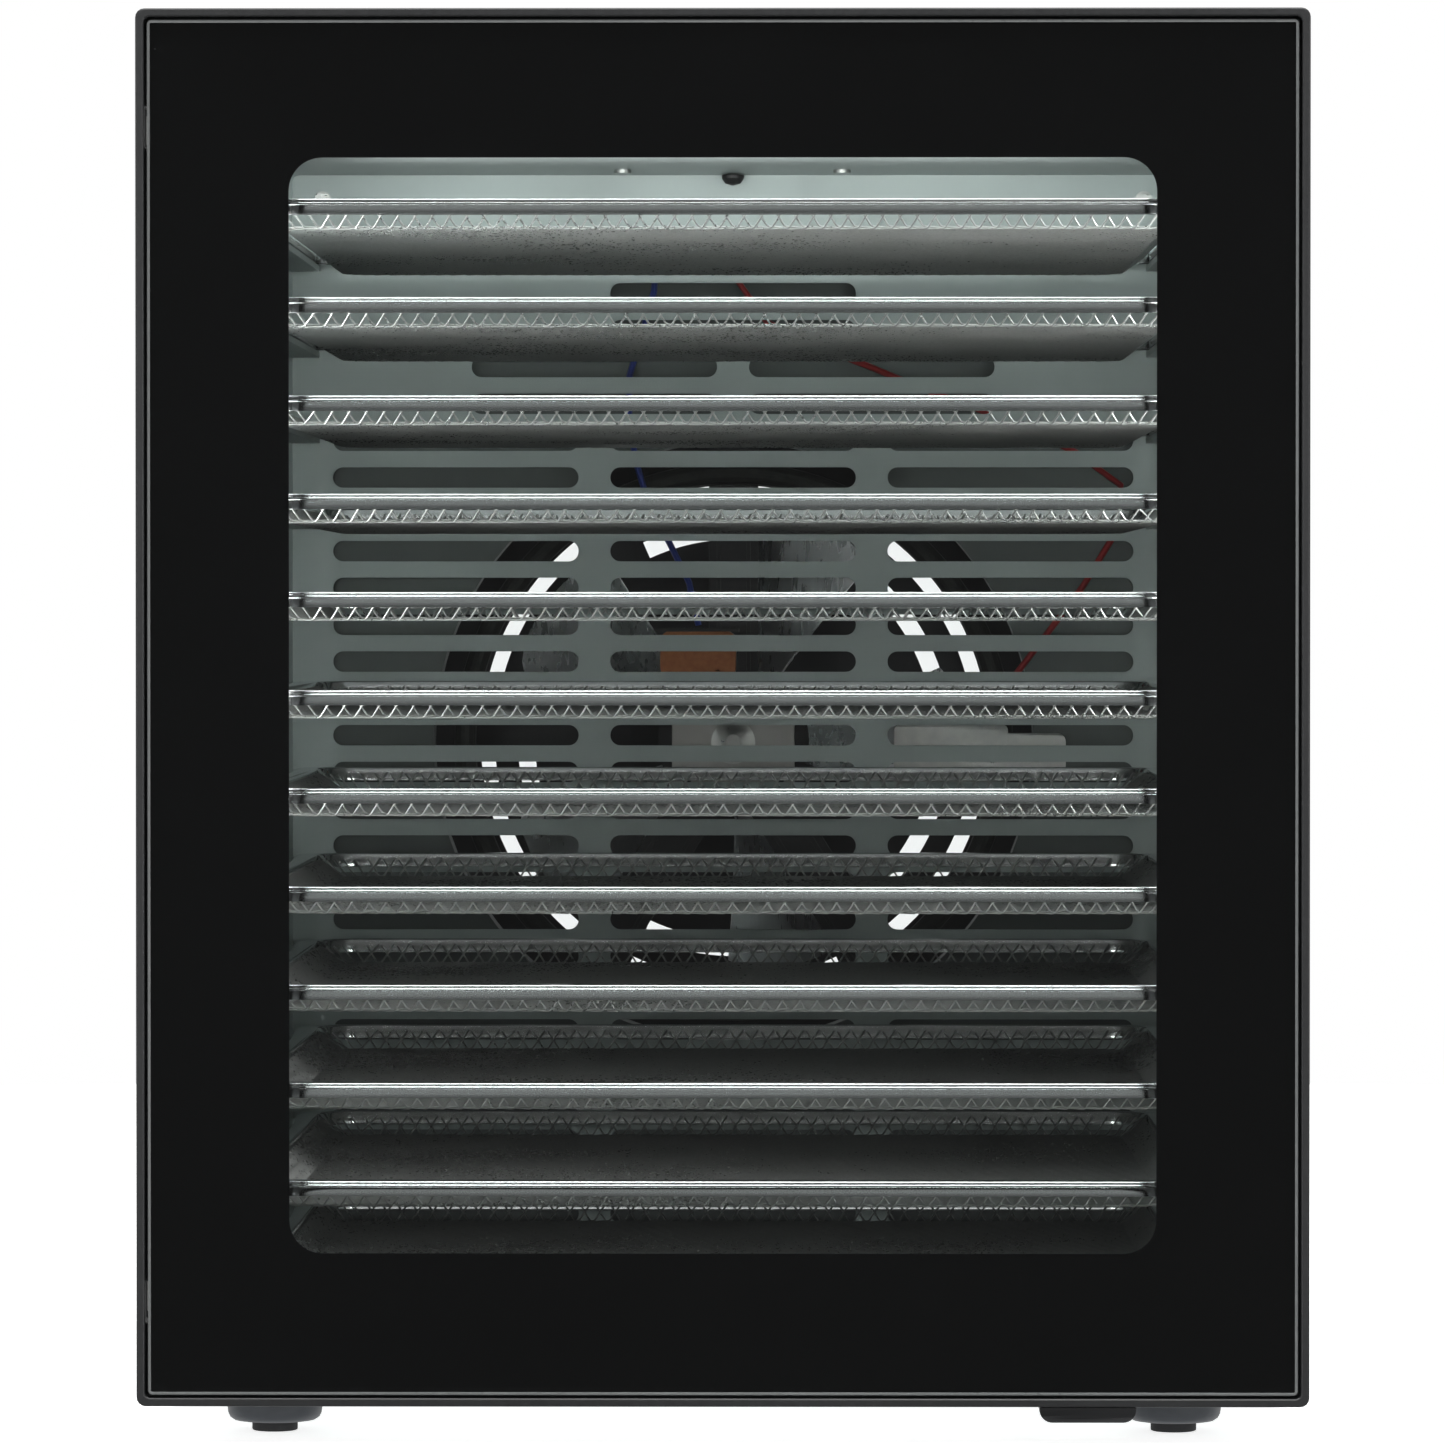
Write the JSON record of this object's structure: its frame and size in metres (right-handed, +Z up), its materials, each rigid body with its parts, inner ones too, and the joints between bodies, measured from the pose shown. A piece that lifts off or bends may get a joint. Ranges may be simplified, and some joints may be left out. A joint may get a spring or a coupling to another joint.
{
  "type": "food dehydrator",
  "caption": "Tall cabinet food dehydrator: framed glass door hinged on its left, sliding wire trays on side ledges, slotted rear baffle, ring heater and fan behind it, controls on top.",
  "frame": {"origin": "on the floor, under the middle of the whole machine's box", "axes": "+Z up, the glass door faces -Y, +X to the right when looking at the door"},
  "size_m": [0.345, 0.45, 0.4247],
  "materials": {
    "case_paint": "fine matt texture",
    "door_paint": "fine satin",
    "door_glass": "polished",
    "galvanised": "galvanised, satin",
    "liner_steel": "satin",
    "tray_steel": "polished edge, satin band",
    "tray_wire": "drawn wire",
    "polished_steel": "polished",
    "hinge_steel": "zinc plated",
    "heater_metal": "heat-darkened",
    "motor_metal": "stacked laminations",
    "black_metal": "satin black",
    "bright_metal": "zinc plated",
    "fan_aluminium": "bright rolled",
    "red_wire": "silicone sleeve",
    "blue_wire": "silicone sleeve",
    "circuit_board": "lacquered",
    "panel_plastic": "gloss",
    "button_plastic": "fine matt",
    "black_plastic": "moulded",
    "foot_plastic": "moulded",
    "black_rubber": "matt"
  },
  "bodies": {
    "cabinet": {"cabinet_shell": "case_paint", "base_pan": "galvanised", "cavity_liner": "liner_steel", "slotted_baffle": "galvanised", "rear_cover": "case_paint", "fan_shroud": "galvanised", "heater_coil": "heater_metal", "fan_motor": "motor_metal", "motor_bracket": "black_metal", "terminal_box": "bright_metal", "wire_red": "red_wire", "wire_blue": "blue_wire", "temp_sensor": "black_metal", "control_board": "circuit_board", "control_panel": "panel_plastic", "power_inlet": "black_plastic", "catch_magnet": "black_plastic", "hinge_pin_bottom": "hinge_steel", "hinge_pin_top": "hinge_steel", "foot_cup_front_left": "foot_plastic", "foot_pad_front_left": "black_rubber", "foot_cup_back_left": "foot_plastic", "foot_pad_back_left": "black_rubber", "foot_cup_front_right": "foot_plastic", "foot_pad_front_right": "black_rubber", "foot_cup_back_right": "foot_plastic", "foot_pad_back_right": "black_rubber"},
    "fan": {"fan_rotor": "fan_aluminium"},
    "door": {"door_frame": "door_paint", "door_glass": "door_glass", "door_seal": "black_rubber", "door_pull": "polished_steel"},
    "tray_01": {"tray_rim_01": "tray_steel", "tray_mesh_01": "tray_wire"},
    "tray_02": {"tray_rim_02": "tray_steel", "tray_mesh_02": "tray_wire"},
    "tray_03": {"tray_rim_03": "tray_steel", "tray_mesh_03": "tray_wire"},
    "tray_04": {"tray_rim_04": "tray_steel", "tray_mesh_04": "tray_wire"},
    "tray_05": {"tray_rim_05": "tray_steel", "tray_mesh_05": "tray_wire"},
    "tray_06": {"tray_rim_06": "tray_steel", "tray_mesh_06": "tray_wire"},
    "tray_07": {"tray_rim_07": "tray_steel", "tray_mesh_07": "tray_wire"},
    "tray_08": {"tray_rim_08": "tray_steel", "tray_mesh_08": "tray_wire"},
    "tray_09": {"tray_rim_09": "tray_steel", "tray_mesh_09": "tray_wire"},
    "tray_10": {"tray_rim_10": "tray_steel", "tray_mesh_10": "tray_wire"},
    "tray_11": {"tray_rim_11": "tray_steel", "tray_mesh_11": "tray_wire"},
    "tray_12": {"tray_rim_12": "tray_steel", "tray_mesh_12": "tray_wire"},
    "button_power": {"button_power": "button_plastic"},
    "button_mode": {"button_mode": "button_plastic"},
    "button_minus": {"button_minus": "button_plastic"},
    "button_plus": {"button_plus": "button_plastic"}
  },
  "joints": [
    {"name": "door_hinge", "type": "hinge", "parent": "cabinet", "child": "door", "pos_m": [-0.166, -0.214, 0.215], "axis": [0, 0, -1], "range_deg": [0, 110]},
    {"name": "fan_spin", "type": "hinge", "parent": "cabinet", "child": "fan", "pos_m": [0, 0.191, 0.201], "axis": [0, -1, 0], "continuous": true},
    {"name": "tray_slide_01", "type": "slide", "parent": "cabinet", "child": "tray_01", "axis": [0, -1, 0], "range_m": [0, 0.3]},
    {"name": "tray_slide_02", "type": "slide", "parent": "cabinet", "child": "tray_02", "axis": [0, -1, 0], "range_m": [0, 0.3]},
    {"name": "tray_slide_03", "type": "slide", "parent": "cabinet", "child": "tray_03", "axis": [0, -1, 0], "range_m": [0, 0.3]},
    {"name": "tray_slide_04", "type": "slide", "parent": "cabinet", "child": "tray_04", "axis": [0, -1, 0], "range_m": [0, 0.3]},
    {"name": "tray_slide_05", "type": "slide", "parent": "cabinet", "child": "tray_05", "axis": [0, -1, 0], "range_m": [0, 0.3]},
    {"name": "tray_slide_06", "type": "slide", "parent": "cabinet", "child": "tray_06", "axis": [0, -1, 0], "range_m": [0, 0.3]},
    {"name": "tray_slide_07", "type": "slide", "parent": "cabinet", "child": "tray_07", "axis": [0, -1, 0], "range_m": [0, 0.3]},
    {"name": "tray_slide_08", "type": "slide", "parent": "cabinet", "child": "tray_08", "axis": [0, -1, 0], "range_m": [0, 0.3]},
    {"name": "tray_slide_09", "type": "slide", "parent": "cabinet", "child": "tray_09", "axis": [0, -1, 0], "range_m": [0, 0.3]},
    {"name": "tray_slide_10", "type": "slide", "parent": "cabinet", "child": "tray_10", "axis": [0, -1, 0], "range_m": [0, 0.3]},
    {"name": "tray_slide_11", "type": "slide", "parent": "cabinet", "child": "tray_11", "axis": [0, -1, 0], "range_m": [0, 0.3]},
    {"name": "tray_slide_12", "type": "slide", "parent": "cabinet", "child": "tray_12", "axis": [0, -1, 0], "range_m": [0, 0.3]},
    {"name": "power_press", "type": "slide", "parent": "cabinet", "child": "button_power", "axis": [0, 0, -1], "range_m": [0, 0.001], "stiffness_N_per_m": 400, "springref_m": -0.001},
    {"name": "mode_press", "type": "slide", "parent": "cabinet", "child": "button_mode", "axis": [0, 0, -1], "range_m": [0, 0.001], "stiffness_N_per_m": 400, "springref_m": -0.001},
    {"name": "minus_press", "type": "slide", "parent": "cabinet", "child": "button_minus", "axis": [0, 0, -1], "range_m": [0, 0.001], "stiffness_N_per_m": 400, "springref_m": -0.001},
    {"name": "plus_press", "type": "slide", "parent": "cabinet", "child": "button_plus", "axis": [0, 0, -1], "range_m": [0, 0.001], "stiffness_N_per_m": 400, "springref_m": -0.001}
  ],
  "couplings": [
    {"joint": "tray_slide_01", "follows": "door_hinge", "m_per_rad": 0.032},
    {"joint": "tray_slide_02", "follows": "door_hinge", "m_per_rad": 0.032},
    {"joint": "tray_slide_03", "follows": "door_hinge", "m_per_rad": 0.032},
    {"joint": "tray_slide_04", "follows": "door_hinge", "m_per_rad": 0.032},
    {"joint": "tray_slide_05", "follows": "door_hinge", "m_per_rad": 0.032},
    {"joint": "tray_slide_06", "follows": "door_hinge", "m_per_rad": 0.032},
    {"joint": "tray_slide_07", "follows": "door_hinge", "m_per_rad": 0.032},
    {"joint": "tray_slide_08", "follows": "door_hinge", "m_per_rad": 0.032},
    {"joint": "tray_slide_09", "follows": "door_hinge", "m_per_rad": 0.032},
    {"joint": "tray_slide_10", "follows": "door_hinge", "m_per_rad": 0.032},
    {"joint": "tray_slide_11", "follows": "door_hinge", "m_per_rad": 0.032},
    {"joint": "tray_slide_12", "follows": "door_hinge", "m_per_rad": 0.032}
  ]
}
